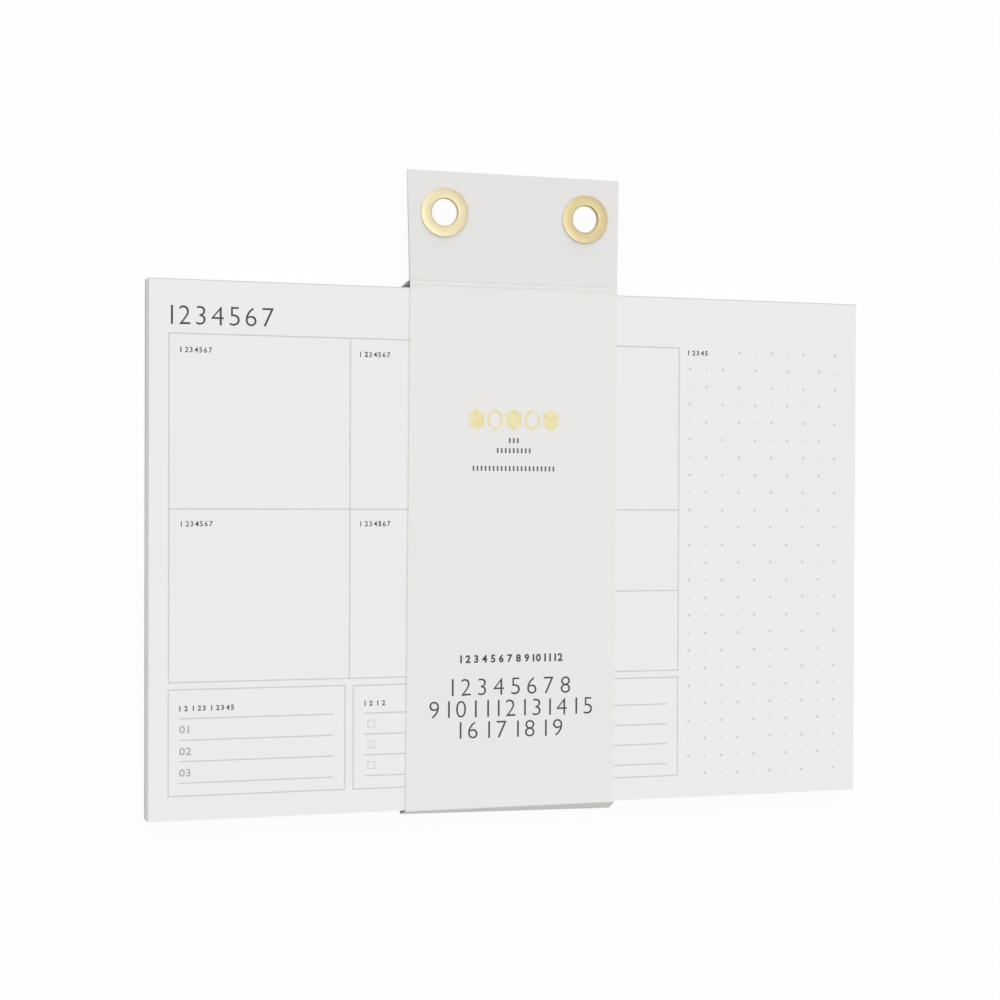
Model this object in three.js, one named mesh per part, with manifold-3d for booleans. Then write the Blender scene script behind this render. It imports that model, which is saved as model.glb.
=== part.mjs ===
// A weekly desk pad held in a folded card band, lying on its back.
// Millimetres. X runs to the pad's right, Y up the page and Z out of the printed face.
// The origin is on the underside of the band, below the middle of the pad.
import * as THREE from "three";
import { mergeVertices } from "three/addons/utils/BufferGeometryUtils.js";
import Module from "manifold-3d";

// The pad: tear-off sheets on a stiff board, gummed together along the top edge.
const PAD_WIDTH = 251;
const PAD_HEIGHT = 175;
const SHEET_COUNT = 60;
const SHEET_THICKNESS = 0.1;
const BOARD_THICKNESS = 0.8;
const GUM_THICKNESS = 0.25;
// The pile leans: its lowest layer lies this far to the left of the top sheet.
const PILE_LEAN = 0.6;
// Air between two faces that lie on each other.
const CONTACT_GAP = 0.02;

// The band: one strip of card, down the front, under the bottom edge and up the back.
const BAND_WIDTH = 74;
const BAND_SHIFT = -3.1;
const CARD_THICKNESS = 0.45;
const FOLD_RADIUS = 0.3;
// Room in the loop beyond the gummed edge, at the back and at the front.
const BACK_TOP_SLACK = 0.3;
const FRONT_TOP_SLACK = 2.53;
// The back panel is longer than the front one, so the bottom spine slopes outwards.
const BOTTOM_SLOPE = 2.3;
// The back fold isn't quite square: it lies this much lower at its right end than at its left.
const FOLD_SLANT = 1.4;
// Two score lines press the front of the card just below where the header starts.
const SCORE_DROP = 0.3;
const SCORE_WIDTH = 0.9;
const SCORE_DEPTH = 0.07;
const SCORE_SPACING = 1.5;

// The header: both ends of the strip, lying together above the pad and leaning forward a little.
const HEADER_HEIGHT = 36.5;
const HEADER_TILT = 4;
const LAYER_GAP = 0.1;

// The strip is folded by hand, so its middle drifts and its width spreads a little along its way.
const WANDER = {
  frontEnd: { drift: -0.92, spread: 0.64 },
  frontCrease: { drift: 0.2, spread: -0.6 },
  frontFold: { drift: -0.57, spread: 0 },
  backFold: { drift: -0.3, spread: 0.9 },
  backTop: { drift: -0.4, spread: 1 },
  backCrease: { drift: 0.05, spread: -0.4 },
  backEnd: { drift: -0.97, spread: 0.6 },
};

// Eyelets: pressed sheet-metal rings set through the header over a washer.
// Their centres lie this far in from the strip's edges, a little left of the middle.
const EYELET_INSET = 12.15;
const EYELET_SHIFT = -0.3;
const EYELET_DROP = 13.6;
const BORE_RADIUS = 4.5;
const EYELET_WALL = 0.35;
// The flange rises from the bore to its crown, and slopes down from its shoulder to the card.
const FLANGE_WIDTH = 3.2;
const CROWN_HEIGHT = 1.15;
const CROWN_BEND = 0.8;
const SHOULDER_WIDTH = 1.15;
const SHOULDER_BEND = 1.5;
const SET_LIP = 1.5;
const HOLE_CLEARANCE = 0.3;
const WASHER_WIDTH = 2.6;
const WASHER_THICKNESS = 0.5;
const WASHER_EDGE = 0.12;

// Facets: steps in a quarter turn of folded card or bent metal, and round a turned ring.
const FOLD_STEPS = 4;
const BEND_STEPS = 5;
const RING_SEGMENTS = 48;
const HOLE_SEGMENTS = 40;

// Heights of the stack, from the table up.
const boardBottom = CARD_THICKNESS + CONTACT_GAP;
const boardTop = boardBottom + BOARD_THICKNESS;
const sheetsBottom = boardTop + CONTACT_GAP;
const sheetsTop = sheetsBottom + SHEET_COUNT * SHEET_THICKNESS;
const bandTop = sheetsTop + CONTACT_GAP + CARD_THICKNESS;

// Places up the page.
const padTop = PAD_HEIGHT / 2;
const padBottom = -PAD_HEIGHT / 2;
const gumTop = padTop + CONTACT_GAP + GUM_THICKNESS;
const frontFold = padBottom - FOLD_RADIUS - CARD_THICKNESS / 2;
const backFold = frontFold - BOTTOM_SLOPE;
const backTop = gumTop + FOLD_RADIUS + BACK_TOP_SLACK + CARD_THICKNESS / 2;
const crease = gumTop + FRONT_TOP_SLACK;
const tilt = THREE.MathUtils.degToRad(HEADER_TILT);
const headerEnd = crease + HEADER_HEIGHT * Math.cos(tilt);

// The header's own frame: its front face at the crease, turned by the tilt.
const headerPlace = new THREE.Matrix4().makeRotationX(tilt).setPosition(0, crease, bandTop);
const headerBack = -2 * CARD_THICKNESS - LAYER_GAP;
const eyeletHeight = HEADER_HEIGHT - EYELET_DROP;
const barrelOuter = BORE_RADIUS + EYELET_WALL;

const paper = new THREE.MeshStandardMaterial({ color: 0xecedec, roughness: 0.85 });
const greyBoard = new THREE.MeshStandardMaterial({ color: 0xb9b5ad, roughness: 0.9 });
const gum = new THREE.MeshStandardMaterial({ color: 0xe9e7df, roughness: 0.45 });
const card = new THREE.MeshStandardMaterial({ color: 0xe6e4e0, roughness: 0.7 });
const brass = new THREE.MeshStandardMaterial({ color: 0xe3c27a, roughness: 0.25, metalness: 1 });

const wasm = await Module();
wasm.setup();

// A closed three.js geometry as a solid that can be joined or cut.
function solidOf(geometry) {
  const bare = new THREE.BufferGeometry();
  bare.setAttribute("position", geometry.getAttribute("position"));
  bare.setIndex(geometry.index);
  const merged = mergeVertices(bare, 1e-4);
  return new wasm.Manifold(
    new wasm.Mesh({
      numProp: 3,
      vertProperties: new Float32Array(merged.getAttribute("position").array),
      triVerts: new Uint32Array(merged.index.array),
    }),
  );
}

// A solid back as a three.js geometry.
function geometryOf(solid) {
  const mesh = solid.getMesh();
  const geometry = new THREE.BufferGeometry();
  geometry.setAttribute("position", new THREE.BufferAttribute(mesh.vertProperties, mesh.numProp));
  geometry.setIndex(new THREE.BufferAttribute(mesh.triVerts, 1));
  geometry.computeVertexNormals();
  return geometry;
}

function named(name, geometry, material) {
  const mesh = new THREE.Mesh(geometry, material);
  mesh.name = name;
  return mesh;
}

// The outline of a sheet of even thickness that follows a centre line.
// Each corner of the line is { at, bend }, where bend is the radius inside the fold.
// A bend is limited to half the length of the shorter side next to it.
function sheetOutline(start, corners, end, thickness, steps) {
  const left = [];
  const right = [];
  const line = [start, ...corners.map((corner) => corner.at), end];
  const along = (from, to) => to.clone().sub(from).normalize();
  const across = (direction) => new THREE.Vector2(-direction.y, direction.x);
  const put = (point, normal, middle) => {
    left.push(point.clone().addScaledVector(normal, middle + thickness / 2));
    right.push(point.clone().addScaledVector(normal, middle - thickness / 2));
  };

  put(start, across(along(start, line[1])), 0);
  corners.forEach(({ at, bend }, index) => {
    const from = line[index];
    const to = line[index + 2];
    const before = along(from, at);
    const after = along(at, to);
    const angle = Math.atan2(before.cross(after), before.dot(after));
    const turn = Math.sign(angle);
    const slope = Math.tan(Math.abs(angle) / 2);
    const room = Math.min(at.distanceTo(from), at.distanceTo(to)) / 2;
    const radius = Math.min(bend + thickness / 2, room / slope);
    const normal = across(before);
    const centre = at
      .clone()
      .addScaledVector(before, -radius * slope)
      .addScaledVector(normal, turn * radius);
    const pieces = Math.ceil((steps * Math.abs(angle)) / (Math.PI / 2));
    for (let piece = 0; piece <= pieces; piece += 1) {
      const swing = pieces ? (angle * piece) / pieces : 0;
      put(centre, normal.clone().rotateAround(new THREE.Vector2(), swing), -turn * radius);
    }
  });
  put(end, across(along(line[line.length - 2], end)), 0);
  return [...left, ...right.reverse()];
}

// A layer of the pile: it leans with the pile, so its front and back are set apart sideways.
function leaningLayer(name, material, low, high, bottom, top) {
  const leanAt = (z) => (-PILE_LEAN * (sheetsTop - z)) / (sheetsTop - boardBottom);
  const side = new THREE.Shape([
    new THREE.Vector2(-PAD_WIDTH / 2 + leanAt(bottom), bottom),
    new THREE.Vector2(PAD_WIDTH / 2 + leanAt(bottom), bottom),
    new THREE.Vector2(PAD_WIDTH / 2 + leanAt(top), top),
    new THREE.Vector2(-PAD_WIDTH / 2 + leanAt(top), top),
  ]);
  const geometry = new THREE.ExtrudeGeometry(side, { depth: high - low, bevelEnabled: false });
  geometry.rotateX(Math.PI / 2);
  geometry.translate(0, high, 0);
  return named(name, geometry, material);
}

// How far left and right the strip's edges lie, at a place up the page, on the front or the back.
function stripEdges(y, onFront) {
  const stations = onFront
    ? [
        { y: frontFold, ...WANDER.frontFold },
        { y: crease, ...WANDER.frontCrease },
        { y: headerEnd, ...WANDER.frontEnd },
      ]
    : [
        { y: backFold, ...WANDER.backFold },
        { y: backTop, ...WANDER.backTop },
        { y: crease, ...WANDER.backCrease },
        { y: headerEnd, ...WANDER.backEnd },
      ];
  const next = Math.max(1, stations.findIndex((station) => station.y >= y));
  const [low, high] = y > headerEnd ? stations.slice(-2) : stations.slice(next - 1, next + 1);
  const share = THREE.MathUtils.clamp((y - low.y) / (high.y - low.y), 0, 1);
  const middle = BAND_SHIFT + THREE.MathUtils.lerp(low.drift, high.drift, share);
  const half = (BAND_WIDTH + THREE.MathUtils.lerp(low.spread, high.spread, share)) / 2;
  return { left: middle - half, right: middle + half };
}

// The strip seen from its side, as Y against Z, from the header's front end round to its back end.
function bandProfile() {
  const frontMiddle = bandTop - CARD_THICKNESS / 2;
  const backMiddle = CARD_THICKNESS / 2;
  const inHeader = (height, depth) => {
    const place = new THREE.Vector3(0, height, -depth).applyMatrix4(headerPlace);
    return new THREE.Vector2(place.y, place.z);
  };
  const frontLayer = CARD_THICKNESS / 2;
  const backLayer = frontLayer + CARD_THICKNESS + LAYER_GAP;
  const fold = (at) => ({ at, bend: FOLD_RADIUS });
  return sheetOutline(
    inHeader(HEADER_HEIGHT, frontLayer),
    [
      fold(inHeader(0, frontLayer)),
      fold(new THREE.Vector2(frontFold, frontMiddle)),
      fold(new THREE.Vector2(backFold, backMiddle)),
      fold(new THREE.Vector2(backTop, backMiddle)),
      fold(inHeader(0, backLayer)),
    ],
    inHeader(HEADER_HEIGHT, backLayer),
    CARD_THICKNESS,
    FOLD_STEPS,
  );
}

// How much of a point's place across the strip comes from the front layer's edges.
// The bottom spine runs from one layer's edges to the other's.
function frontShare(y, z) {
  if (y < padBottom) return THREE.MathUtils.clamp(z / bandTop, 0, 1);
  const lean = Math.max(0, y - crease) * Math.tan(tilt);
  return z - lean > bandTop - CARD_THICKNESS - LAYER_GAP / 2 ? 1 : 0;
}

// The profile is drawn out to a strip of unit width, and its two sides are then set to their edges.
function foldedStrip() {
  const profile = new THREE.Shape(bandProfile());
  const geometry = new THREE.ExtrudeGeometry(profile, { depth: 1, bevelEnabled: false });
  const places = geometry.getAttribute("position");
  for (let index = 0; index < places.count; index += 1) {
    const y = places.getX(index);
    const z = places.getY(index);
    const front = stripEdges(y, true);
    const back = stripEdges(y, false);
    const share = frontShare(y, z);
    const left = THREE.MathUtils.lerp(back.left, front.left, share);
    const right = THREE.MathUtils.lerp(back.right, front.right, share);
    const across = places.getZ(index);
    const slant = y < padBottom ? FOLD_SLANT * (1 - share) * (across - 1 / 2) : 0;
    places.setXYZ(index, THREE.MathUtils.lerp(left, right, across), y - slant, z);
  }
  return geometry;
}

// A V-shaped bar along X, whose point presses one score line into the card.
function scoreBar(y) {
  const wedge = new THREE.Shape([
    new THREE.Vector2(-SCORE_WIDTH, bandTop + SCORE_DEPTH),
    new THREE.Vector2(0, bandTop - SCORE_DEPTH),
    new THREE.Vector2(SCORE_WIDTH, bandTop + SCORE_DEPTH),
  ]);
  const length = 2 * BAND_WIDTH;
  const geometry = new THREE.ExtrudeGeometry(wedge, { depth: length, bevelEnabled: false });
  geometry.rotateY(Math.PI / 2);
  geometry.rotateX(Math.PI / 2);
  geometry.translate(BAND_SHIFT - length / 2, y, 0);
  return geometry;
}

// The hole for an eyelet, through both layers of the header.
function eyeletHole(x) {
  const radius = barrelOuter + HOLE_CLEARANCE;
  const length = 4 * CARD_THICKNESS + LAYER_GAP;
  const geometry = new THREE.CylinderGeometry(radius, radius, length, HOLE_SEGMENTS);
  geometry.rotateX(Math.PI / 2);
  geometry.translate(x, eyeletHeight, headerBack / 2);
  return geometry.applyMatrix4(headerPlace);
}

function cardBand(eyeletPlaces) {
  const cuts = [
    scoreBar(crease - SCORE_DROP),
    scoreBar(crease - SCORE_DROP - SCORE_SPACING),
    ...eyeletPlaces.map(eyeletHole),
  ];
  const strip = cuts.reduce((solid, cut) => solid.subtract(solidOf(cut)), solidOf(foldedStrip()));
  return named("card_band", geometryOf(strip), card);
}

// Turn a closed outline of radius against height about the vertical axis.
function turned(outline) {
  const wound = THREE.ShapeUtils.area(outline) > 0 ? outline : outline.reverse();
  const geometry = new THREE.LatheGeometry([...wound, wound[0].clone()], RING_SEGMENTS);
  geometry.rotateX(Math.PI / 2);
  return geometry;
}

// One piece of sheet metal: a domed flange in front, a barrel, and a lip set outwards at the back.
function eyelet(name, x) {
  const barrel = BORE_RADIUS + EYELET_WALL / 2;
  const rim = barrelOuter + FLANGE_WIDTH;
  const rimHeight = CONTACT_GAP + EYELET_WALL / 2;
  const crown = CROWN_HEIGHT - EYELET_WALL / 2;
  const lip = headerBack - 2 * CONTACT_GAP - WASHER_THICKNESS - EYELET_WALL / 2;
  const bend = (radius, z, inside) => ({ at: new THREE.Vector2(radius, z), bend: inside });
  const outline = sheetOutline(
    new THREE.Vector2(barrelOuter + SET_LIP, lip),
    [
      bend(barrel, lip, HOLE_CLEARANCE),
      bend(barrel, crown, CROWN_BEND),
      bend(rim - SHOULDER_WIDTH, crown, SHOULDER_BEND),
    ],
    new THREE.Vector2(rim, rimHeight),
    EYELET_WALL,
    BEND_STEPS,
  );
  const mesh = named(name, turned(outline), brass);
  mesh.position.set(x, eyeletHeight, 0);
  return mesh;
}

// A flat ring with broken edges, under the header's back layer.
function washer(name, x) {
  const inner = barrelOuter + HOLE_CLEARANCE;
  const outer = inner + WASHER_WIDTH;
  const top = headerBack - CONTACT_GAP;
  const bottom = top - WASHER_THICKNESS;
  const outline = [
    new THREE.Vector2(inner + WASHER_EDGE, bottom),
    new THREE.Vector2(outer - WASHER_EDGE, bottom),
    new THREE.Vector2(outer, bottom + WASHER_EDGE),
    new THREE.Vector2(outer, top - WASHER_EDGE),
    new THREE.Vector2(outer - WASHER_EDGE, top),
    new THREE.Vector2(inner + WASHER_EDGE, top),
    new THREE.Vector2(inner, top - WASHER_EDGE),
    new THREE.Vector2(inner, bottom + WASHER_EDGE),
  ];
  const mesh = named(name, turned(outline), brass);
  mesh.position.set(x, eyeletHeight, 0);
  return mesh;
}

const pad = new THREE.Group();
pad.add(
  leaningLayer("page_block", paper, padBottom, padTop, sheetsBottom, sheetsTop),
  leaningLayer("backing_board", greyBoard, padBottom, padTop, boardBottom, boardTop),
  leaningLayer("binding_gum", gum, padTop + CONTACT_GAP, gumTop, boardBottom, sheetsTop),
);

const header = new THREE.Group();
header.applyMatrix4(headerPlace);
const eyeletMiddle = BAND_SHIFT + EYELET_SHIFT;
const eyeletReach = BAND_WIDTH / 2 - EYELET_INSET;
const eyeletPlaces = { left: eyeletMiddle - eyeletReach, right: eyeletMiddle + eyeletReach };
for (const [side, x] of Object.entries(eyeletPlaces)) {
  header.add(eyelet("eyelet_" + side, x), washer("washer_" + side, x));
}

const planner = new THREE.Group();
planner.add(pad, cardBand(Object.values(eyeletPlaces)), header);
export default planner;
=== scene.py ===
# %% [markdown]
# A weekly desk planner lies on its back: a pad of tear-off sheets on a stiff board, held in a
# folded card band with two brass eyelets in its header. The measured solids come in first, as a
# frame that fixes every size. The steps below then dress them in real thicknesses and finishes.
# %% Load the frame
import math
import random

import bmesh
import bpy
from mathutils import Matrix, Vector


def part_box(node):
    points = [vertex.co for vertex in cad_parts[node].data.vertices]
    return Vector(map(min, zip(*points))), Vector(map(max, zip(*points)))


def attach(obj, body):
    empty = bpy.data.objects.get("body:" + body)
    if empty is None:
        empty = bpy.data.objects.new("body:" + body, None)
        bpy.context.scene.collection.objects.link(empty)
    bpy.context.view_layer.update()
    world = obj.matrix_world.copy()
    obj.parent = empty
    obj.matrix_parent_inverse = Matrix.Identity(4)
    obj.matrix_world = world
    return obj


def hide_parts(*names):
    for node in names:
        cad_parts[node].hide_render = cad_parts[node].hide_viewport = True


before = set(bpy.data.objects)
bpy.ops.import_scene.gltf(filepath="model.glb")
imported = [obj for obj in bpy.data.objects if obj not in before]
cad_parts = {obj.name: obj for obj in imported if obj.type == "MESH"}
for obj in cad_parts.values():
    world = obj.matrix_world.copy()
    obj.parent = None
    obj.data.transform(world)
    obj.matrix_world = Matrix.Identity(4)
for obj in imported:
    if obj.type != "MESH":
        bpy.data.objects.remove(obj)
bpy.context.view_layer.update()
print("frame:", ", ".join(sorted(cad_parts)))

# %% [markdown]
# Sizes are kept as named millimetres. The height of the page is read from its solid, and the
# band's face follows from it, so that whatever is printed on them sits exactly on their faces.
# %% Sizes of the pad, the band and the header
MM = 0.001
PAD_WIDTH = 251 * MM
PAD_HEIGHT = 175 * MM
SHEET_COUNT = 60
CARD_THICKNESS = 0.45 * MM
CONTACT_GAP = 0.02 * MM
LAYER_GAP = 0.1 * MM
HEADER_TILT = math.radians(4)
CREASE = 90.3 * MM
EYELET_PLACES = {"left": -28.25 * MM, "right": 21.45 * MM}

page_low, page_high = (Vector(corner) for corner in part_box("page_block"))
PAGE_TOP = page_high.z
BAND_TOP = PAGE_TOP + CONTACT_GAP + CARD_THICKNESS
print("page height", round(PAGE_TOP / MM, 3), "mm, band height", round(BAND_TOP / MM, 3), "mm")

# %% [markdown]
# The photograph looks down on the page from the left, from about two thirds of a metre. A camera
# could be turned by three angles, but matching the pad's corners with the picture gives its place
# and the directions that run right, down and into the picture, so those are what is kept. A small
# shift of the lens puts the middle of the view where the picture has it.
# %% Camera
CAMERA_PLACE = Vector((-193.6, 17.3, 643.2)) * MM
PICTURE_RIGHT = Vector((0.9508, 0.0040, 0.3096))
PICTURE_DOWN = Vector((0.0004, -0.9999, 0.0117))
INTO_PICTURE = Vector((0.3097, -0.0110, -0.9508))
SENSOR_WIDTH = 36
FOCAL_LENGTH = 70.09
LENS_SHIFT = (-0.06, 0.02)
NEAREST_SEEN = 0.05

lens = bpy.data.cameras.new("photo_lens")
lens.sensor_fit = "HORIZONTAL"
lens.sensor_width = SENSOR_WIDTH
lens.lens = FOCAL_LENGTH
lens.shift_x, lens.shift_y = LENS_SHIFT
lens.clip_start = NEAREST_SEEN
camera = bpy.data.objects.new("photo_camera", lens)
turn = Matrix((PICTURE_RIGHT, -PICTURE_DOWN, -INTO_PICTURE)).transposed().to_quaternion()
camera.matrix_world = Matrix.LocRotScale(CAMERA_PLACE, turn, None)
bpy.context.scene.collection.objects.link(camera)
bpy.context.scene.camera = camera
print("camera", round(CAMERA_PLACE.length, 3), "m away, lens", FOCAL_LENGTH, "mm")

# %% [markdown]
# Every finish is a node material with one Principled shader. Written out node by node, a tree soon
# runs to a page. These helpers keep it to a few lines: a socket is fed with a number, a colour or
# another socket, whichever it is given.
# %% Helpers for node trees
def new_material(name):
    """A node material with its tree and its Principled shader."""
    material = bpy.data.materials.new(name)
    material.use_nodes = True
    return material, material.node_tree, material.node_tree.nodes["Principled BSDF"]


def add(tree, kind, **settings):
    """A new node of a kind, with the values of its properties or sockets set."""
    node = tree.nodes.new(kind)
    for name, value in settings.items():
        if name in node.inputs:
            node.inputs[name].default_value = value
        else:
            setattr(node, name, value)
    return node


def feed(tree, socket, source):
    """Gives a socket its source, which is another socket, a colour or a number."""
    if isinstance(source, bpy.types.NodeSocket):
        tree.links.new(source, socket)
    elif isinstance(source, tuple):
        socket.default_value = (*source, 1)
    else:
        socket.default_value = source


def worked_out(tree, operation, *sources):
    """The result of one sum on numbers and sockets."""
    node = add(tree, "ShaderNodeMath", operation=operation)
    for socket, source in zip(node.inputs, sources):
        feed(tree, socket, source)
    return node.outputs[0]


print("node helpers ready")

# %% [markdown]
# A pattern on a real piece is fixed to it, so every texture here is placed by the piece's own
# coordinates, in metres. They can be drawn out along an axis, which turns round grains of noise
# into fibres, streaks or brush marks.
# %% Helpers for patterns
def coordinates(tree, kind="Object"):
    """The piece's own coordinates, or those of another kind."""
    return add(tree, "ShaderNodeTexCoord").outputs[kind]


def stretched(tree, place, scale, turn=(0, 0, 0)):
    """The same place with its axes drawn out and turned."""
    mapping = add(tree, "ShaderNodeMapping", Scale=scale, Rotation=turn)
    feed(tree, mapping.inputs["Vector"], place)
    return mapping.outputs["Vector"]


def noise(tree, place, scale, **settings):
    """Soft noise, which is the finer the larger its scale is."""
    texture = add(tree, "ShaderNodeTexNoise", **settings)
    feed(tree, texture.inputs["Vector"], place)
    feed(tree, texture.inputs["Scale"], scale)
    return texture.outputs["Fac"]


def along_axis(tree, place, axis):
    """One axis of a place or a direction."""
    parts = add(tree, "ShaderNodeSeparateXYZ")
    feed(tree, parts.inputs[0], place)
    return parts.outputs[axis]


print("pattern helpers ready")

# %% [markdown]
# A mask from 0 to 1 chooses between two tones, or between two values. One Mix node does either,
# with sockets for every kind of data, and the right ones are told by their numbers. Relief is
# given by its depth and by how strongly it shows.
# %% Helpers for tones and values
COLOUR_SOCKETS = (0, 6, 7)
VALUE_SOCKETS = (0, 2, 3)


def share_of_way(tree, source, start, end):
    """How far a value has come from a start to an end, held between 0 and 1."""
    ramp = add(tree, "ShaderNodeMapRange")
    for name, value in (("Value", source), ("From Min", start), ("From Max", end)):
        feed(tree, ramp.inputs[name], value)
    return ramp.outputs["Result"]


def two_tones(tree, mask, low, high, blend="MIX"):
    """A colour that goes from low to high as the mask goes from 0 to 1."""
    mix = add(tree, "ShaderNodeMix", data_type="RGBA", blend_type=blend)
    for index, source in zip(COLOUR_SOCKETS, (mask, low, high)):
        feed(tree, mix.inputs[index], source)
    return mix.outputs[2]


def two_values(tree, mask, low, high):
    """A value that goes from low to high as the mask goes from 0 to 1."""
    mix = add(tree, "ShaderNodeMix", data_type="FLOAT")
    for index, source in zip(VALUE_SOCKETS, (mask, low, high)):
        feed(tree, mix.inputs[index], source)
    return mix.outputs[0]


def bump(tree, shader, height, depth, strength):
    """The shader's normal follows a height, with relief of that depth in metres."""
    relief = add(tree, "ShaderNodeBump", Strength=strength, Distance=depth)
    feed(tree, relief.inputs["Height"], height)
    feed(tree, shader.inputs["Normal"], relief.outputs["Normal"])


print("tone and value helpers ready")

# %% [markdown]
# Paper, board and card are all felted fibres, which differ only in how coarse they are. Each could
# have its own textures, but one node group makes the grain for all of them: soft clouds of
# density, with short fibres laid over them. Each material places the group with its own sizes.
# %% Fibre grain group
FIBRE_STRETCH = (1.0, 2.6, 1.0)
FIBRE_TURN = (0, 0, 0.5)


def grain_group():
    """The grain as a group, with its sizes as inputs and its masks as outputs."""
    group = bpy.data.node_groups.new("fibre_grain", "ShaderNodeTree")
    for name in ("Cloud scale", "Fibre scale", "Fibre share"):
        group.interface.new_socket(name, in_out="INPUT", socket_type="NodeSocketFloat")
    for name in ("Clouds", "Fibres", "Height"):
        group.interface.new_socket(name, in_out="OUTPUT", socket_type="NodeSocketFloat")
    given = add(group, "NodeGroupInput").outputs
    place = coordinates(group)
    drawn_out = stretched(group, place, FIBRE_STRETCH, FIBRE_TURN)
    clouds = noise(group, place, given["Cloud scale"], Detail=3.0, Roughness=0.6)
    fibres = noise(
        group, drawn_out, given["Fibre scale"], Detail=6.0, Roughness=0.7, Distortion=0.6
    )
    height = two_values(group, given["Fibre share"], clouds, fibres)
    made = add(group, "NodeGroupOutput").inputs
    for name, source in (("Clouds", clouds), ("Fibres", fibres), ("Height", height)):
        feed(group, made[name], source)
    return group


FIBRE_GRAIN = grain_group()


def grain(tree, sizes):
    """The masks of the fibre grain, placed in a material with its own sizes."""
    return add(tree, "ShaderNodeGroup", node_tree=FIBRE_GRAIN, **sizes).outputs


print("grain group sockets:", len(FIBRE_GRAIN.interface.items_tree))

# %% [markdown]
# The sheets are bright, uncoated writing paper. It is nearly white, a touch cool, quite matt, and
# has a tooth so fine that it only shows close up. On the cut sides of the pile the leaves show as
# fine level streaks, because each was cut a little differently. The streaks are noise that is
# pressed very flat, and it darkens only the faces that don't look up.
# %% Sheet paper
SHEET_GRAIN = {"Cloud scale": 45.0, "Fibre scale": 2600.0, "Fibre share": 0.7}
SHEET_LOW = (0.812, 0.815, 0.814)
SHEET_HIGH = (0.850, 0.852, 0.851)
SHEET_ROUGH = (0.78, 0.95)
SHEET_SHINE = 0.3
SHEET_TOOTH = (0.012 * MM, 0.5)
STREAK_DARK = (0.83, 0.83, 0.83)
STREAK_SCALE = (14.0, 14.0, 4200.0)
LOOKS_UP = 0.5


def streak_mask(tree):
    """Fine level streaks on the sides, and 0 on the faces that look up."""
    streaks = noise(tree, stretched(tree, coordinates(tree), STREAK_SCALE), 1.0, Detail=2.0)
    upward = along_axis(tree, coordinates(tree, "Normal"), "Z")
    steep = worked_out(tree, "LESS_THAN", upward, LOOKS_UP)
    return worked_out(tree, "MULTIPLY", streaks, steep)


def sheet_paper():
    material, tree, shader = new_material("sheet_paper")
    felt = grain(tree, SHEET_GRAIN)
    plain = two_tones(tree, felt["Height"], SHEET_LOW, SHEET_HIGH)
    streaked = two_tones(tree, streak_mask(tree), plain, STREAK_DARK, "MULTIPLY")
    feed(tree, shader.inputs["Base Color"], streaked)
    feed(tree, shader.inputs["Roughness"], two_values(tree, felt["Fibres"], *SHEET_ROUGH))
    feed(tree, shader.inputs["Specular IOR Level"], SHEET_SHINE)
    bump(tree, shader, felt["Fibres"], *SHEET_TOOTH)
    return material


SHEET_PAPER = sheet_paper()
print("made", SHEET_PAPER.name)

# %% [markdown]
# The band is a warmer white card with a smooth, lightly calendered face. Along the fold lines a
# darker tone is painted, as painted shade in the scored creases and in the bottom fold, broken up
# by the fibres. All of them run straight across, so a mask on one axis finds them.
# %% Band card
CARD_GRAIN = {"Cloud scale": 30.0, "Fibre scale": 1500.0, "Fibre share": 0.45}
CARD_LOW = (0.790, 0.781, 0.764)
CARD_HIGH = (0.826, 0.818, 0.802)
CARD_ROUGH = (0.46, 0.66)
CARD_SHINE = 0.4
CARD_TOOTH = (0.03 * MM, 0.35)
SCORES = (CREASE - 0.55 * MM, CREASE - 2.05 * MM)
BOTTOM_FOLD = -88.0 * MM
FOLD_HALF_WIDTH = 0.35 * MM
# a darker tone painted along the folds, as painted shade
FOLD_PAINTED_SHADE = (0.690, 0.675, 0.645)


def fold_wear(tree):
    """A mask for the painted fold shade: 1 along the fold lines across the card, 0 elsewhere."""
    up_the_page = along_axis(tree, coordinates(tree), "Y")
    mask = None
    for line in (*SCORES, BOTTOM_FOLD):
        near = worked_out(tree, "COMPARE", up_the_page, line, FOLD_HALF_WIDTH)
        mask = near if mask is None else worked_out(tree, "MAXIMUM", mask, near)
    return mask


def band_card():
    material, tree, shader = new_material("band_card")
    felt = grain(tree, CARD_GRAIN)
    plain = two_tones(tree, felt["Height"], CARD_LOW, CARD_HIGH)
    # painted shade along the folds, broken up by the fibres
    painted_fold_shade = worked_out(tree, "MULTIPLY", fold_wear(tree), felt["Fibres"])
    feed(tree, shader.inputs["Base Color"], two_tones(tree, painted_fold_shade, plain, FOLD_PAINTED_SHADE))
    feed(tree, shader.inputs["Roughness"], two_values(tree, felt["Clouds"], *CARD_ROUGH))
    feed(tree, shader.inputs["Specular IOR Level"], CARD_SHINE)
    bump(tree, shader, felt["Height"], *CARD_TOOTH)
    return material


def refinish(node_name, finish):
    """Gives a solid of the frame its real finish."""
    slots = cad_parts[node_name].data.materials
    slots.clear()
    slots.append(finish)
    print(finish.name, "on", node_name)


refinish("card_band", band_card())

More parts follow.
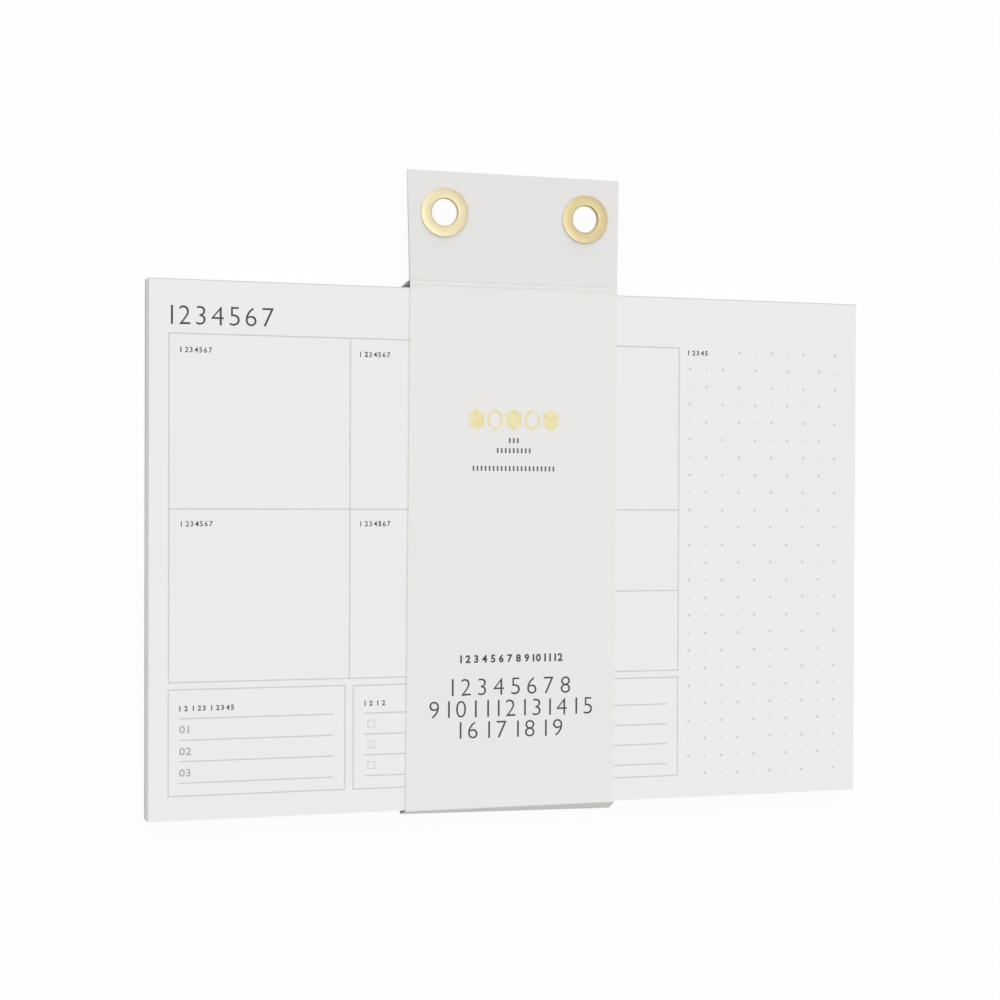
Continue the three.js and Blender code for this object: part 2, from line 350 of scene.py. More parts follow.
# %% [markdown]
# The backing board is made of recycled pulp, so its grey is full of specks. The soft ones come
# with the grain, and the small dark ones are the middles of the cells of a Voronoi texture. The
# padding gum is a thin film with a slight sheen, brushed along the top edge. Its brush marks are
# noise that is drawn out along it.
# %% Backing board and binding gum
BOARD_GRAIN = {"Cloud scale": 160.0, "Fibre scale": 900.0, "Fibre share": 0.6}
BOARD_LOW = (0.36, 0.35, 0.325)
BOARD_HIGH = (0.55, 0.54, 0.51)
BOARD_ROUGH = 0.9
BOARD_TOOTH = (0.06 * MM, 0.5)
SPECK_SCALE = 700.0
SPECK_REACH = 0.22
SPECK_SHARE = 0.35
GUM_LOW = (0.60, 0.59, 0.54)
GUM_HIGH = (0.72, 0.71, 0.66)
GUM_ROUGH = (0.32, 0.55)
GUM_RELIEF = (0.08 * MM, 0.6)
BRUSH_SCALE = (90.0, 500.0, 1400.0)


def grey_board():
    material, tree, shader = new_material("grey_board")
    pulp = grain(tree, BOARD_GRAIN)["Height"]
    specks = add(tree, "ShaderNodeTexVoronoi", Scale=SPECK_SCALE)
    feed(tree, specks.inputs["Vector"], coordinates(tree))
    clear = share_of_way(tree, specks.outputs["Distance"], 0.0, SPECK_REACH)
    plain = two_tones(tree, pulp, BOARD_LOW, BOARD_HIGH)
    speckled = two_tones(tree, SPECK_SHARE, plain, clear, "MULTIPLY")
    feed(tree, shader.inputs["Base Color"], speckled)
    feed(tree, shader.inputs["Roughness"], BOARD_ROUGH)
    bump(tree, shader, pulp, *BOARD_TOOTH)
    return material


def padding_gum():
    material, tree, shader = new_material("padding_gum")
    marks = noise(tree, stretched(tree, coordinates(tree), BRUSH_SCALE), 1.0, Detail=4.0)
    feed(tree, shader.inputs["Base Color"], two_tones(tree, marks, GUM_LOW, GUM_HIGH))
    feed(tree, shader.inputs["Roughness"], two_values(tree, marks, *GUM_ROUGH))
    bump(tree, shader, marks, *GUM_RELIEF)
    return material


refinish("backing_board", grey_board())
refinish("binding_gum", padding_gum())

# %% [markdown]
# The eyelets and the foil print are both bright pale gold. Pressed brass has soft dents. The left
# eyelet is given a paler tone than the right one, as painted light for the brighter light on the
# left, so one material does for both eyelets, its tone changing from one to the other. Foil is
# flatter, and its shine breaks up where it was pressed into the card.
# %% Brass and foil
BRASS_DEEP = (0.77, 0.63, 0.33)
BRASS_PALE = (0.95, 0.84, 0.56)
FOIL_DEEP = (0.80, 0.64, 0.25)
FOIL_PALE = (1.0, 0.97, 0.68)
# how much of the brass tone is painted light, paler at the left eyelet
PAINTED_LIGHT_SHARE = 0.65
DENT_STRENGTH = 0.6


def plating(tree, tone):
    """The tone, drawn to its pale end at the left eyelet and deep at the right: painted light."""
    across = along_axis(tree, coordinates(tree), "X")
    painted_paleness = share_of_way(tree, across, EYELET_PLACES["right"], EYELET_PLACES["left"])
    return two_values(tree, PAINTED_LIGHT_SHARE, tone, painted_paleness)


def bright_metal(name, tones, rough, cloud_scale, dent_scale, dent_depth, light_painted=False):
    """A metal between two tones, whose soft dents break up its shine."""
    material, tree, shader = new_material(name)
    mask = noise(tree, coordinates(tree), cloud_scale, Detail=3.0)
    # painted light: the left eyelet comes out paler than the right
    if light_painted:
        mask = plating(tree, mask)
    dents = noise(tree, coordinates(tree), dent_scale, Detail=2.0, Distortion=0.4)
    feed(tree, shader.inputs["Base Color"], two_tones(tree, mask, *tones))
    feed(tree, shader.inputs["Roughness"], two_values(tree, dents, *rough))
    feed(tree, shader.inputs["Metallic"], 1.0)
    bump(tree, shader, dents, dent_depth, DENT_STRENGTH)
    return material


PRESSED_BRASS = bright_metal(
    "pressed_brass", (BRASS_DEEP, BRASS_PALE), rough=(0.16, 0.34), cloud_scale=350.0,
    dent_scale=420.0, dent_depth=0.12 * MM, light_painted=True,
)
GOLD_FOIL = bright_metal(
    "gold_foil", (FOIL_DEEP, FOIL_PALE), rough=(0.2, 0.4), cloud_scale=420.0,
    dent_scale=900.0, dent_depth=0.02 * MM,
)
print("made", PRESSED_BRASS.name, "and", GOLD_FOIL.name)

# %% [markdown]
# Printing ink soaks into paper unevenly. Each ink is a flat tone that a fine noise makes a little
# lighter in places, as a litho print looks under a glass.
# %% Inks
INK_GRAIN = {"Cloud scale": 400.0, "Fibre scale": 3000.0, "Fibre share": 0.6}
INK_ROUGH = (0.55, 0.8)
INK_SHINE = 0.3
THIN_FACTOR = 1.35
THIN_LIFT = 0.01


def ink(name, tone):
    material, tree, shader = new_material(name)
    felt = grain(tree, INK_GRAIN)
    thin = tuple(value * THIN_FACTOR + THIN_LIFT for value in tone)
    feed(tree, shader.inputs["Base Color"], two_tones(tree, felt["Height"], tone, thin))
    feed(tree, shader.inputs["Roughness"], two_values(tree, felt["Fibres"], *INK_ROUGH))
    feed(tree, shader.inputs["Specular IOR Level"], INK_SHINE)
    return material


INK_DARK = ink("dark_grey_ink", (0.055, 0.055, 0.055))
INK_SOFT = ink("soft_grey_ink", (0.115, 0.115, 0.115))
INK_MIDDLE = ink("middle_grey_ink", (0.34, 0.345, 0.345))
INK_PALE = ink("pale_grey_ink", (0.52, 0.535, 0.53))
print("four inks ready")

# %% [markdown]
# A finished piece is a mesh that rides on the planner's one body. This helper turns a bmesh into
# an object, gives it its material, and tells the frame what it belongs to.
# %% Helper that finishes a piece
def finished(name, shape, material, stands_for=()):
    """A bmesh made a piece of the planner, in place of the solids that it stands for."""
    mesh = bpy.data.meshes.new(name)
    bmesh.ops.recalc_face_normals(shape, faces=shape.faces)
    shape.to_mesh(mesh)
    shape.free()
    mesh.materials.append(material)
    piece = bpy.data.objects.new(name, mesh)
    bpy.context.scene.collection.objects.link(piece)
    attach(piece, "root")
    if stands_for:
        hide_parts(*stands_for)
    print(name, len(mesh.polygons), "faces")
    return piece


# %% [markdown]
# The pad is cut in one stroke of a guillotine, so its sheets end almost flush. A blade still drags
# each sheet a few hundredths of a millimetre, and that is what makes the fine lines on the sides.
# One block could have the lines painted on, but its edges would stay too straight. Each sheet is
# therefore a real thin slab, set over by its own small amount, and the pile leans a little.
# %% The pile of sheets
SHEET_AIR = 0.007 * MM
DRAG = 0.05 * MM
rng = random.Random(7)


def block(shape, low, high):
    """A box between two corners, added to a bmesh."""
    middle = (Vector(low) + Vector(high)) / 2
    size = Vector(high) - Vector(low)
    place = Matrix.Translation(middle) @ Matrix.Diagonal((*size, 1))
    bmesh.ops.create_cube(shape, size=1, matrix=place)


def sheet_pile():
    pile = bmesh.new()
    pitch = (page_high.z - page_low.z) / SHEET_COUNT
    lean = PAD_WIDTH - (page_high.x - page_low.x)
    for index in range(SHEET_COUNT):
        top = page_high.z - index * pitch
        set_over = lean * index / (SHEET_COUNT - 1)
        left, lower, right = (rng.uniform(-DRAG, DRAG) if index else 0 for _ in range(3))
        low = (-PAD_WIDTH / 2 + set_over + left, page_low.y + abs(lower), top - pitch + SHEET_AIR)
        high = (PAD_WIDTH / 2 + set_over + right, page_high.y, top)
        block(pile, low, high)
    finished("tear_off_sheets", pile, SHEET_PAPER, ["page_block"])


sheet_pile()

# %% [markdown]
# All print is drawn in page millimetres, from the top left corner of the sheet, because that is
# how a printer lays out a page. Ink has next to no thickness; here it is a film of a fiftieth of a
# millimetre, so that it never flickers against the paper.
# %% Helpers for print
INK_FILM = 0.02 * MM
RULE_WIDTH = 0.42
DOT_SIDES = 12


def on_page(x, y, height):
    """A place given in page millimetres, at a height in metres."""
    return Vector((x * MM - PAD_WIDTH / 2, PAD_HEIGHT / 2 - y * MM, height))


def bar(print_run, left, top, right, bottom, ground=PAGE_TOP):
    """A filled rectangle of ink."""
    low = on_page(left, bottom, ground)
    high = on_page(right, top, ground + INK_FILM)
    block(print_run, low, high)


def rule(print_run, left, right, y, width=RULE_WIDTH):
    """A line across the page."""
    bar(print_run, left, y - width / 2, right, y + width / 2)


def upright(print_run, x, top, bottom, width=RULE_WIDTH, ground=PAGE_TOP):
    """A line down the page."""
    bar(print_run, x - width / 2, top, x + width / 2, bottom, ground)


def frame_box(print_run, left, top, right, bottom, width=RULE_WIDTH):
    """The outline of a box, whose sides meet without overlapping."""
    half = width / 2
    rule(print_run, left - half, right + half, top, width)
    rule(print_run, left - half, right + half, bottom, width)
    upright(print_run, left, top + half, bottom - half, width)
    upright(print_run, right, top + half, bottom - half, width)


def dot(print_run, x, y, radius):
    """A round dot of ink."""
    middle = on_page(x, y, PAGE_TOP + INK_FILM / 2)
    bmesh.ops.create_cone(
        print_run, cap_ends=True, segments=DOT_SIDES, radius1=radius * MM, radius2=radius * MM,
        depth=INK_FILM, matrix=Matrix.Translation(middle),
    )


print("print helpers ready, ink film", INK_FILM / MM, "mm")

# %% [markdown]
# Numerals start as Blender's own font. Each is made a mesh once, at a height of 1 with its foot on
# the baseline, and is then stamped wherever it is needed. A font object can be fattened or thinned
# by its offset, which gives a bold and a light cut from the same font.
# %% Helpers for numerals
CUTS = {"bold": 0.034, "plain": 0.012, "light": -0.0125}
CURVE_STEPS = 3
RAISED_DEPTH = 0.02
WELD_REACH = 1e-5
glyphs = {}


def weld(mesh):
    """Joins the faces and the sides of raised numerals, which the font leaves apart."""
    shape = bmesh.new()
    shape.from_mesh(mesh)
    bmesh.ops.remove_doubles(shape, verts=shape.verts, dist=WELD_REACH)
    shape.to_mesh(mesh)
    shape.free()


def raised_numerals(words, cut):
    """A welded mesh of some numerals, as the font draws them."""
    curve = bpy.data.curves.new("numerals", "FONT")
    curve.body = words
    curve.offset = CUTS[cut]
    curve.resolution_u = CURVE_STEPS
    curve.extrude = RAISED_DEPTH / 2
    stand = bpy.data.objects.new("numerals", curve)
    bpy.context.scene.collection.objects.link(stand)
    bpy.context.view_layer.update()
    evaluated = stand.evaluated_get(bpy.context.evaluated_depsgraph_get())
    mesh = bpy.data.meshes.new_from_object(evaluated)
    bpy.data.objects.remove(stand)
    weld(mesh)
    return mesh


def glyph(words, cut):
    """A mesh of some numerals, with a digit's height set to 1, and its width."""
    if (words, cut) not in glyphs:
        mesh = raised_numerals(words, cut)
        xs = [vertex.co.x for vertex in mesh.vertices]
        ys = [vertex.co.y for vertex in mesh.vertices]
        scale = 1 / (max(ys) - min(ys))
        foot = Matrix.Translation((-min(xs), -min(ys), 0))
        mesh.transform(Matrix.Diagonal((scale, scale, 1, 1)) @ foot)
        glyphs[(words, cut)] = (mesh, (max(xs) - min(xs)) * scale)
    return glyphs[(words, cut)]


print("numerals are cut as", ", ".join(CUTS))

# %% [markdown]
# A numeral could be an object of its own, but a printer stamps a whole row in one run, and one
# mesh for the row is lighter. Its mesh is added to the run, and only the new points are sized and
# moved. Numbers of different widths look evenly set when the gaps between them are even.
# %% Helpers for stamping numerals
def stamp(print_run, words, x, baseline, height, cut="plain", ground=PAGE_TOP, widen=1.0):
    """Numerals of that height in millimetres, from x on, drawn out sideways by a factor."""
    start = len(print_run.verts)
    print_run.from_mesh(glyph(words, cut)[0])
    print_run.verts.ensure_lookup_table()
    size = Matrix.Diagonal((height * MM * widen, height * MM, INK_FILM / RAISED_DEPTH, 1))
    place = Matrix.Translation(on_page(x, baseline, ground + INK_FILM / 2)) @ size
    bmesh.ops.transform(print_run, matrix=place, verts=print_run.verts[start:])


def spread_numbers(print_run, numbers, left, right, baseline, height, cut, ground=PAGE_TOP):
    """Numbers with even gaps between them, from a left edge to a right edge."""
    widths = [glyph(str(number), cut)[1] * height for number in numbers]
    gap = (right - left - sum(widths)) / (len(widths) - 1)
    x = left
    for number, width in zip(numbers, widths):
        stamp(print_run, str(number), x, baseline, height, cut, ground)
        x += width + gap


print("stamping helpers ready")

# %% [markdown]
# The week grid has six wide cells, with the last one split in two, and below it a box with three
# numbered lines and a box with a list to tick. All of it is in the same fine pale grey line, so it
# is one piece. The lines stop where they meet, because ink that lay over ink would flicker.
# %% Boxes and rules of the page
# a box is given by its left, top, right and bottom
GRID = (6.33, 17.3, 182.7, 130.15)
GRID_UPRIGHTS = (65.7, 124.2)
GRID_MIDDLE = 74.0
SPLIT = 102.2
NUMBERED_BOX = (6.3, 132.5, 64.2, 167.0)
TICK_LIST_BOX = (67.0, 132.6, 182.65, 167.1)
WRITING_LINES = (141.9, 148.9, 155.8, 162.8)
WRITING_SPANS = ((9.7, 60.3), (70.7, 178.7))


def page_lines():
    lines = bmesh.new()
    half = RULE_WIDTH / 2
    left, top, right, bottom = GRID
    for box in (GRID, NUMBERED_BOX, TICK_LIST_BOX):
        frame_box(lines, *box)
    for x in GRID_UPRIGHTS:
        upright(lines, x, top + half, bottom - half)
    stops = (left, *GRID_UPRIGHTS, right)
    for start, end in zip(stops, stops[1:]):
        rule(lines, start + half, end - half, GRID_MIDDLE)
    rule(lines, GRID_UPRIGHTS[1] + half, right - half, SPLIT)
    for y in WRITING_LINES:
        for start, end in WRITING_SPANS:
            rule(lines, start, end, y)
    finished("page_lines", lines, INK_PALE)


page_lines()

# %% [markdown]
# Each cell is headed by the seven days as small numerals, with the cell's own day in bold. They
# are stamped at an even pitch, so that a day has the same place in every heading. The bold ones
# are a piece of their own, as if printed from a second plate.
# %% Day numerals
DAYS = range(1, 8)
# where the heading of each day's cell starts
DAY_CELLS = {
    1: (9.9, 23.4), 2: (69.0, 23.4), 3: (127.6, 23.4),
    4: (10.2, 79.7), 5: (69.2, 79.7), 6: (127.6, 79.7), 7: (127.6, 107.9),
}
DAY_PITCH = 1.52
HEADING_HEIGHT = 1.75


def day_headings():
    own = bmesh.new()
    others = bmesh.new()
    for day, (x, baseline) in DAY_CELLS.items():
        for count in DAYS:
            run, cut = (own, "bold") if count == day else (others, "plain")
            stamp(run, str(count), x + (count - 1) * DAY_PITCH, baseline, HEADING_HEIGHT, cut)
    finished("day_numerals_own", own, INK_DARK)
    finished("day_numerals_others", others, INK_DARK)


day_headings()

# %% [markdown]
# The boxes and the notes area have labels of a few small bold numbers, in groups with a gap
# between them. The list has the numbers 01 to 03, drawn out a little sideways. The large light
# figures at the top left number the days again, and have even gaps instead of an even pitch.
# %% Labels, list numbers and title
LABEL_PITCH = 1.6
LABEL_GAP = 0.7
# where each label starts, and how many numbers each of its groups has
LABELS = {(9.8, 139.5): (2, 3, 5), (70.8, 139.5): (2, 2), (186.0, 19.8): (5,)}
LIST_LEFT = 9.8
LIST_HEIGHT = 2.5
LIST_WIDEN = 1.16
LIST_BASELINES = (146.7, 153.8, 160.7)
TITLE_LEFT = 6.9
TITLE_RIGHT = 40.2
TITLE_BASELINE = 14.4
TITLE_HEIGHT = 6.1


def labels():
    numbers = bmesh.new()
    for (x, baseline), groups in LABELS.items():
        for size in groups:
            for index in range(size):
                place = x + index * LABEL_PITCH
                stamp(numbers, str(index + 1), place, baseline, HEADING_HEIGHT, "bold")
            x += (size + LABEL_GAP) * LABEL_PITCH
    finished("label_numbers", numbers, INK_SOFT)


def list_numbers():
    numbers = bmesh.new()
    for count, baseline in enumerate(LIST_BASELINES, start=1):
        stamp(numbers, "0" + str(count), LIST_LEFT, baseline, LIST_HEIGHT, widen=LIST_WIDEN)
    finished("list_numbers", numbers, INK_MIDDLE)


def title_numbers():
    title = bmesh.new()
    spread_numbers(title, DAYS, TITLE_LEFT, TITLE_RIGHT, TITLE_BASELINE, TITLE_HEIGHT, "light")
    finished("title_numbers", title, INK_DARK)


labels()
list_numbers()
title_numbers()

# %% [markdown]
# The notes area is a grid of tiny dots. Every other dot is printed a little larger, like the
# squares of one colour on a chess board, and the first row is shorter, where the heading stands.
# The list beside it has three small boxes to tick.
# %% Dot grid and tick boxes
DOT_START = (186.8, 18.4)
DOT_PITCH = (6.22, 6.18)
DOT_COLUMNS = 10
DOT_ROWS = 25
DOTS_UNDER_HEADING = 2
STRONG_DOT = 0.49
FAINT_DOT = 0.3
BOX_LEFT = 72.0
BOX_TOPS = (144.3, 151.2, 158.1)
BOX_SIZE = 2.3
BOX_LINE = 0.27


def notes_dots():
    dots = bmesh.new()
    for row in range(DOT_ROWS):
        for column in range(DOTS_UNDER_HEADING if row == 0 else 0, DOT_COLUMNS):
            x = DOT_START[0] + column * DOT_PITCH[0]
            y = DOT_START[1] + row * DOT_PITCH[1]
            dot(dots, x, y, STRONG_DOT if (row + column) % 2 else FAINT_DOT)
    finished("notes_dots", dots, INK_PALE)


def tick_boxes():
    boxes = bmesh.new()
    for top in BOX_TOPS:
        frame_box(boxes, BOX_LEFT, top, BOX_LEFT + BOX_SIZE, top + BOX_SIZE, BOX_LINE)
    finished("tick_boxes", boxes, INK_PALE)


notes_dots()
tick_boxes()

# %% [markdown]
# The ornament on the front of the band is a row of six-sided cells, pressed in foil. Each starts
# as a circle of six points. The open ones are inset and lose their middle, and all are raised by
# the foil's thickness.
# %% Foil ornament
FOIL_THICKNESS = 0.03 * MM
BAND_MIDDLE = 122.2
FOIL_Y = 43.45
# each cell's place from the band's middle, and whether it is open
FOIL_CELLS = {-13.2: False, -6.6: True, 0.0: False, 6.6: True, 13.2: False}
CELL_SIDES = 6
CELL_RADII = (3.1, 3.7)
CELL_RIM = 0.95


def foil_cell(offset, is_open):
    """One six-sided patch of foil, as a bmesh of its own."""
    shape = bmesh.new()
    middle = Matrix.Translation(on_page(BAND_MIDDLE + offset, FOIL_Y, BAND_TOP))
    size = Matrix.Diagonal((CELL_RADII[0] * MM, CELL_RADII[1] * MM, 1, 1))
    place = middle @ size
    bmesh.ops.create_circle(shape, cap_ends=True, segments=CELL_SIDES, radius=1, matrix=place)
    if is_open:
        centre = shape.faces[:]
        bmesh.ops.inset_individual(shape, faces=centre, thickness=CELL_RIM * MM)
        bmesh.ops.delete(shape, geom=centre, context="FACES_ONLY")
    raised = bmesh.ops.extrude_face_region(shape, geom=shape.faces[:], use_keep_orig=True)["geom"]
    tops = [item for item in raised if isinstance(item, bmesh.types.BMVert)]
    bmesh.ops.translate(shape, vec=(0, 0, FOIL_THICKNESS), verts=tops)
    return shape


def foil_ornament():
    foil = bmesh.new()
    for offset, is_open in FOIL_CELLS.items():
        shape = foil_cell(offset, is_open)
        mesh = bpy.data.meshes.new("foil_cell")
        shape.to_mesh(mesh)
        shape.free()
        foil.from_mesh(mesh)
        bpy.data.meshes.remove(mesh)
    finished("foil_ornament", foil, GOLD_FOIL)


foil_ornament()

# %% [markdown]
# Under the ornament stand three rows of fine upright ticks, and lower down a row of small bold
# numbers over three rows of light ones. A row of numbers is given by its two ends, and the gaps
# follow, because the numbers differ in width.
# %% Ticks and numbers of the band
# each row's top and how many ticks it has
TICK_ROWS = ((49.7, 3), (53.1, 9), (59.2, 21))
TICK_PITCH = 1.42
TICK_HEIGHT = 1.7
TICK_WIDTH = 0.6
# each row's numbers, left end, right end and baseline
LIGHT_ROWS = (
    (range(1, 9), 100.7, 142.8, 137.0),
    (range(9, 16), 92.9, 150.8, 144.4),
    (range(16, 20), 103.5, 140.0, 151.6),
)
LIGHT_HEIGHT = 5.7
BOLD_ROW = (range(1, 13), 103.6, 140.0, 126.0)
BOLD_HEIGHT = 2.7


def tick_rows():
    ticks = bmesh.new()
    for top, count in TICK_ROWS:
        for index in range(count):
            x = BAND_MIDDLE + (index - (count - 1) / 2) * TICK_PITCH
            upright(ticks, x, top, top + TICK_HEIGHT, TICK_WIDTH, BAND_TOP)
    finished("band_ticks", ticks, INK_SOFT)


def band_numbers():
    light = bmesh.new()
    for row in LIGHT_ROWS:
        spread_numbers(light, *row, LIGHT_HEIGHT, "light", BAND_TOP)
    finished("band_numbers_light", light, INK_DARK)
    bold = bmesh.new()
    spread_numbers(bold, *BOLD_ROW, BOLD_HEIGHT, "bold", BAND_TOP)
    finished("band_numbers_bold", bold, INK_DARK)


tick_rows()
band_numbers()

# %% [markdown]
# An eyelet is one piece of thin brass: a flange that rolls over the front, a barrel through the
# card, and a lip that the press curls out behind, over a washer. Both are round about one axis, so
# each is drawn as half a section, in the plane of X and Z, and spun into a ring. These helpers
# round the corners of a section and spin it.
# %% Helpers for rings
RING_STEPS = 96
SEAM_REACH = 1e-7
EYELET_HEIGHT = 22.9 * MM
HEADER_PLACE = Matrix.Translation((0, CREASE, BAND_TOP)) @ Matrix.Rotation(HEADER_TILT, 4, "X")


def drawn_line(shape, points):
    """The corners of a line through some points, each given by its radius and its height."""
    corners = [shape.verts.new((radius, 0, height)) for radius, height in points]
    for start, end in zip(corners, corners[1:]):
        shape.edges.new((start, end))
    return corners


def round_corners(shape, corners, reach, steps):
    """Rounds some corners of a line, each from that reach before it to that reach behind."""
    bmesh.ops.bevel(
        shape, geom=corners, offset=reach, offset_type="OFFSET", segments=steps, profile=0.5,
        affect="VERTICES", material=-1,
    )


def brass_ring(name, section, x, solid):
    """Spins a section about the upright axis and sets it in the header, as a brass piece."""
    bmesh.ops.spin(
        section, geom=section.verts[:] + section.edges[:], cent=(0, 0, 0), axis=(0, 0, 1),
        angle=2 * math.pi, steps=RING_STEPS, use_merge=True,
    )
    bmesh.ops.remove_doubles(section, verts=section.verts, dist=SEAM_REACH)
    place = HEADER_PLACE @ Matrix.Translation((x, EYELET_HEIGHT, 0))
    bmesh.ops.transform(section, matrix=place, verts=section.verts)
    for face in section.faces:
        face.smooth = True
    return finished(name, section, PRESSED_BRASS, [solid])


print("rings are spun in", RING_STEPS, "steps")

# %% [markdown]
# The eyelet's section is a line of a few straight runs along the middle of the brass, with a
# rounded bend between each two. Drawn by hand, the bends would need many points, while a bevel
# needs only a reach that follows from their radius. A Solidify modifier then gives the brass its
# thickness, to both sides of the line, and a Bevel modifier takes the sharpness off its edges.
# %% Eyelets
EYELET_WALL = 0.35 * MM
BORE_RADIUS = 4.5 * MM
FLANGE_WIDTH = 3.2 * MM
CROWN_HEIGHT = 1.15 * MM
SHOULDER_WIDTH = 1.15 * MM
SET_LIP = 1.5 * MM
EYELET_BENDS = (0.45 * MM, 0.95 * MM, 1.6 * MM)
BEND_STEPS = 8
EDGE_ROUND = 0.1 * MM
EDGE_STEPS = 2
HEADER_BACK = -2 * CARD_THICKNESS - LAYER_GAP
WASHER_THICKNESS = 0.5 * MM


def eyelet(side, x):
    barrel = BORE_RADIUS + EYELET_WALL / 2
    rim = BORE_RADIUS + EYELET_WALL + FLANGE_WIDTH
    crown = CROWN_HEIGHT - EYELET_WALL / 2
    lip = HEADER_BACK - 2 * CONTACT_GAP - WASHER_THICKNESS - EYELET_WALL / 2
    section = bmesh.new()
    corners = drawn_line(section, (
        (BORE_RADIUS + EYELET_WALL + SET_LIP, lip), (barrel, lip), (barrel, crown),
        (rim - SHOULDER_WIDTH, crown), (rim, CONTACT_GAP + EYELET_WALL / 2),
    ))
    for corner, radius in zip(corners[1:-1], EYELET_BENDS):
        before, after = (edge.other_vert(corner).co - corner.co for edge in corner.link_edges)
        reach = radius / math.tan(before.angle(after) / 2)
        round_corners(section, [corner], reach, BEND_STEPS)
    piece = brass_ring("set_eyelet_" + side, section, x, "eyelet_" + side)
    wall = piece.modifiers.new("wall", "SOLIDIFY")
    wall.thickness = EYELET_WALL
    wall.offset = 0
    wall.use_even_offset = True
    edge = piece.modifiers.new("rounded_edge", "BEVEL")
    edge.width = EDGE_ROUND
    edge.segments = EDGE_STEPS


print("eyelet bore", round(2 * BORE_RADIUS / MM, 2), "mm, wall", round(EYELET_WALL / MM, 2), "mm")

# %% [markdown]
# The washer is a flat ring behind the header, and the eyelet's lip holds it there. It is thick
# enough to be drawn as a closed section, a low rectangle with soft corners, so it needs no
# modifier.
# %% Washers
WASHER_WIDTH = 2.6 * MM
WASHER_PLAY = 0.3 * MM
WASHER_ROUND = 0.12 * MM
WASHER_STEPS = 3


def washer(side, x):
    inner = BORE_RADIUS + EYELET_WALL + WASHER_PLAY
    outer = inner + WASHER_WIDTH
    top = HEADER_BACK - CONTACT_GAP
    bottom = top - WASHER_THICKNESS
    section = bmesh.new()
    corners = drawn_line(section, ((inner, bottom), (outer, bottom), (outer, top), (inner, top)))
    section.edges.new((corners[-1], corners[0]))
    round_corners(section, corners, WASHER_ROUND, WASHER_STEPS)
    brass_ring("back_ring_" + side, section, x, "washer_" + side)


for side, x in EYELET_PLACES.items():
    eyelet(side, x)
    washer(side, x)

# %% [markdown]
# The planner lies on a plain white floor. A floor lit like the rest would come out grey. So rays
# from the camera see it as nearly white by itself, like a clear background, while a small part of
# its light still comes from the lamp and carries the planner's soft shadow. Reflections see it
# only as it is lit.
# %% Floor
FLOOR_WHITE = (0.86, 0.86, 0.86)
FLOOR_GLOW = 0.94
FLOOR_REACH = 6
FLOOR_DROP = 0.03 * MM


def seen_directly(tree):
    """1 for rays straight from the camera or through something clear, else 0."""
    path = add(tree, "ShaderNodeLightPath").outputs
    return worked_out(tree, "MAXIMUM", path["Is Camera Ray"], path["Is Transmission Ray"])


def white_floor():
    material, tree, shader = new_material("white_floor")
    feed(tree, shader.inputs["Base Color"], FLOOR_WHITE)
    feed(tree, shader.inputs["Roughness"], 1.0)
    glow = add(tree, "ShaderNodeEmission", Strength=1.0)
    mix = add(tree, "ShaderNodeMixShader")
    feed(tree, mix.inputs[0], worked_out(tree, "MULTIPLY", seen_directly(tree), FLOOR_GLOW))
    feed(tree, mix.inputs[1], shader.outputs[0])
    feed(tree, mix.inputs[2], glow.outputs[0])
    feed(tree, tree.nodes["Material Output"].inputs["Surface"], mix.outputs[0])
    return material


def floor():
    shape = bmesh.new()
    drop = Matrix.Translation((0, 0, -FLOOR_DROP))
    bmesh.ops.create_grid(shape, x_segments=1, y_segments=1, size=FLOOR_REACH, matrix=drop)
    mesh = bpy.data.meshes.new("floor")
    shape.to_mesh(mesh)
    shape.free()
    mesh.materials.append(white_floor())
    plane = bpy.data.objects.new("floor", mesh)
    bpy.context.scene.collection.objects.link(plane)
    return plane


print(floor().name, "lies", FLOOR_DROP / MM, "mm below the planner")

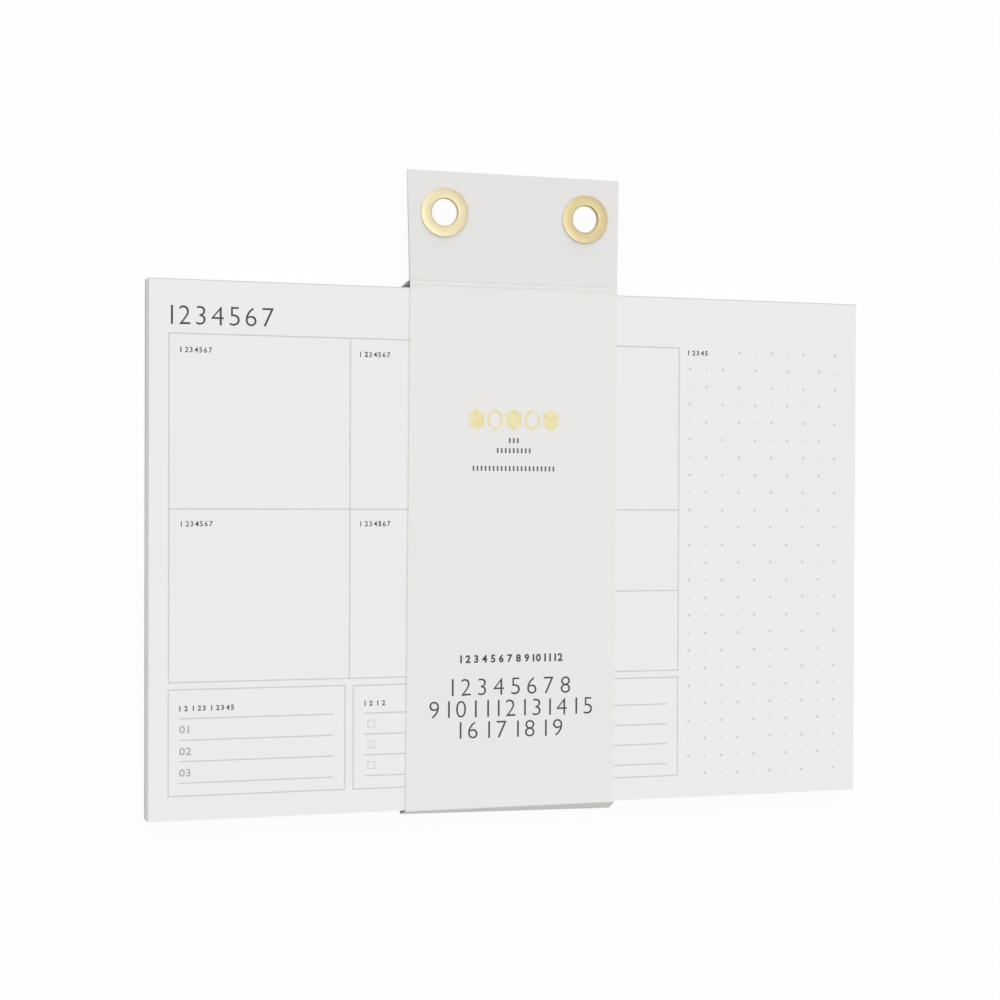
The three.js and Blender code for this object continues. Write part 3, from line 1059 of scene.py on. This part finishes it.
# %% [markdown]
# The light is that of a plain white studio: a pale surround that is brighter overhead and towards
# the header. A picture of a real studio could light it too, but a level that changes evenly with
# direction has only a few numbers to set. Shiny metal mirrors a surround of its own, brightest at
# the lower left.
# %% World
CLEAR_WHITE = 1.0
SKY_MIDDLE = 0.60
SKY_SLOPES = {"X": -0.04, "Y": 0.18, "Z": 0.16}
SHEEN_MIDDLE = 0.99
SHEEN_SLOPES = {"X": -0.18, "Y": -0.12}


def level_by_direction(tree, middle, slopes):
    """A brightness that changes evenly with direction."""
    level = middle
    for axis, slope in slopes.items():
        part = along_axis(tree, coordinates(tree, "Generated"), axis)
        level = worked_out(tree, "MULTIPLY_ADD", part, slope, level)
    return level


def studio_world():
    world = bpy.data.worlds.new("studio")
    bpy.context.scene.world = world
    world.use_nodes = True
    tree = world.node_tree
    sky = level_by_direction(tree, SKY_MIDDLE, SKY_SLOPES)
    sheen = level_by_direction(tree, SHEEN_MIDDLE, SHEEN_SLOPES)
    glossy = add(tree, "ShaderNodeLightPath").outputs["Is Glossy Ray"]
    lit = two_values(tree, glossy, sky, sheen)
    surround = tree.nodes["Background"]
    feed(tree, surround.inputs["Color"], (1, 1, 1))
    feed(tree, surround.inputs["Strength"], two_values(tree, seen_directly(tree), lit, CLEAR_WHITE))


studio_world()
print("surround about", SKY_MIDDLE, "at the sides")

# %% [markdown]
# One large soft lamp stands beyond the header. Its light comes in low, so that it draws the score
# lines, and metal doesn't mirror it. A sun lamp lights every part alike, and its angle makes it
# soft. With the surround it is set so that a colour renders about as it is written.
# %% Lamp
LAMP_TOWARDS = Vector((0.3, 1.5, 0.95))
LAMP_SPREAD = math.radians(50)
LAMP_STRENGTH = 1.75


def key_lamp():
    data = bpy.data.lights.new("key_lamp", "SUN")
    data.angle = LAMP_SPREAD
    data.energy = LAMP_STRENGTH
    lamp = bpy.data.objects.new("key_lamp", data)
    turn = LAMP_TOWARDS.to_track_quat("Z", "Y")
    lamp.matrix_world = Matrix.LocRotScale(LAMP_TOWARDS, turn, None)
    lamp.visible_glossy = False
    bpy.context.scene.collection.objects.link(lamp)


key_lamp()
bpy.context.scene.view_settings.view_transform = "Standard"
print("key lamp beyond the header, strength", LAMP_STRENGTH)
